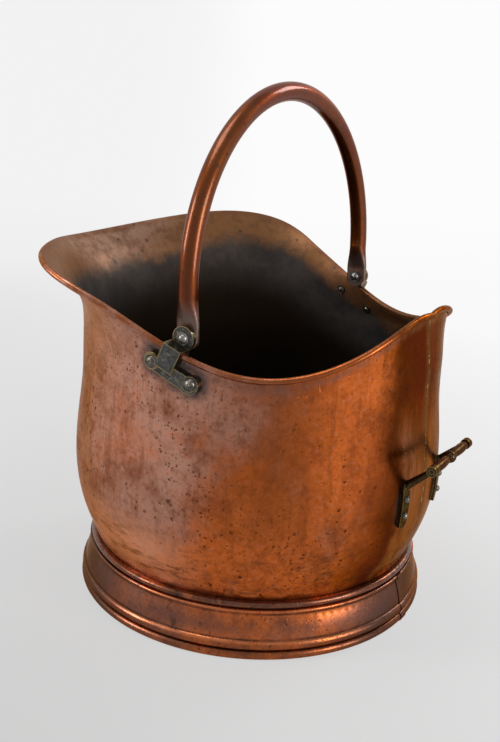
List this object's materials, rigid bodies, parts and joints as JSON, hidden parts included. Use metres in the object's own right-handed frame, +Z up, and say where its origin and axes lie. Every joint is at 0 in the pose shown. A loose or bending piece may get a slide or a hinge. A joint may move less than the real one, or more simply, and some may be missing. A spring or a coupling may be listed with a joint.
{
  "type": "log bucket",
  "caption": "Helmet-shaped copper log bucket with a wide spout, moulded foot ring, swinging bail handle on riveted ears and a turned rear grip.",
  "frame": {"origin": "middle of the foot ring, on the floor", "axes": "+Z up, -X towards the spout, +X towards the rear grip, Y across the bail's pivots"},
  "size_m": [0.4042, 0.3716, 0.4671],
  "materials": {
    "copper_body": "patinated",
    "copper_foot": "patinated",
    "copper_collar": "patinated",
    "copper_pan": "sooted",
    "copper_bail": "polished",
    "bronze_grip": "dark",
    "cast_ear": "tarnished",
    "rivet_metal": "tarnished",
    "pivot_metal": "tarnished",
    "cast_bracket": "tarnished"
  },
  "bodies": {
    "bucket": {"body_shell": "copper_body", "foot_skirt": "copper_foot", "collar_bead": "copper_collar", "bottom_pan": "copper_pan", "rear_grip": "bronze_grip", "ear_left": "cast_ear", "ear_right": "cast_ear", "ear_rivets_left": "rivet_metal", "ear_rivets_right": "rivet_metal", "ear_roves_left": "rivet_metal", "ear_roves_right": "rivet_metal", "pivot_rivet_left": "pivot_metal", "pivot_rivet_right": "pivot_metal", "pivot_washers_left": "pivot_metal", "pivot_washers_right": "pivot_metal", "grip_bracket_left": "cast_bracket", "grip_bracket_right": "cast_bracket", "bracket_rivets_left": "rivet_metal", "bracket_rivets_right": "rivet_metal", "bracket_roves_left": "rivet_metal", "bracket_roves_right": "rivet_metal"},
    "bail": {"bail_tube": "copper_bail"}
  },
  "joints": [
    {"name": "bail_hinge", "type": "hinge", "parent": "bucket", "child": "bail", "pos_m": [0.019, 0, 0.27404], "axis": [0, 1, 0], "range_deg": [-78, 108]}
  ]
}
